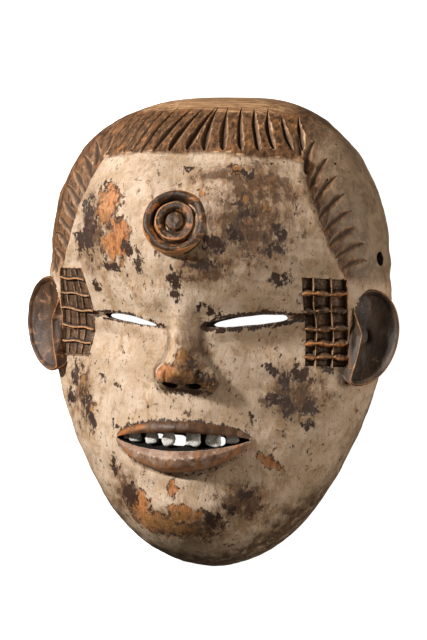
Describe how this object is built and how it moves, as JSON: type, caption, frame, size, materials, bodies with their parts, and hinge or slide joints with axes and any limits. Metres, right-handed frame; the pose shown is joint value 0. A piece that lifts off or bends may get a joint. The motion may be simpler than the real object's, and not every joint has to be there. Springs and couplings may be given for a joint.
{
  "type": "carved wooden face mask",
  "caption": "Hollow carved face mask with slit eyes, open mouth with inset teeth, ears, temple grids and grooved hair.",
  "frame": {"origin": "under the middle of the mask, on the plane that its flat back rim lies on", "axes": "+X to the viewer's right across the face, +Y from chin to crown, +Z out of the face"},
  "size_m": [0.204, 0.2512, 0.1024],
  "materials": {
    "painted_wood": "matte, worn chalky cream paint over brown wood, dark brown hair, ears and rim",
    "tooth": "matte, whitened, grey stains"
  },
  "bodies": {
    "root": {"mask": "painted_wood", "tooth_1": "tooth", "tooth_2": "tooth", "tooth_3": "tooth", "tooth_4": "tooth", "tooth_5": "tooth", "tooth_6": "tooth", "tooth_7": "tooth"}
  },
  "joints": []
}
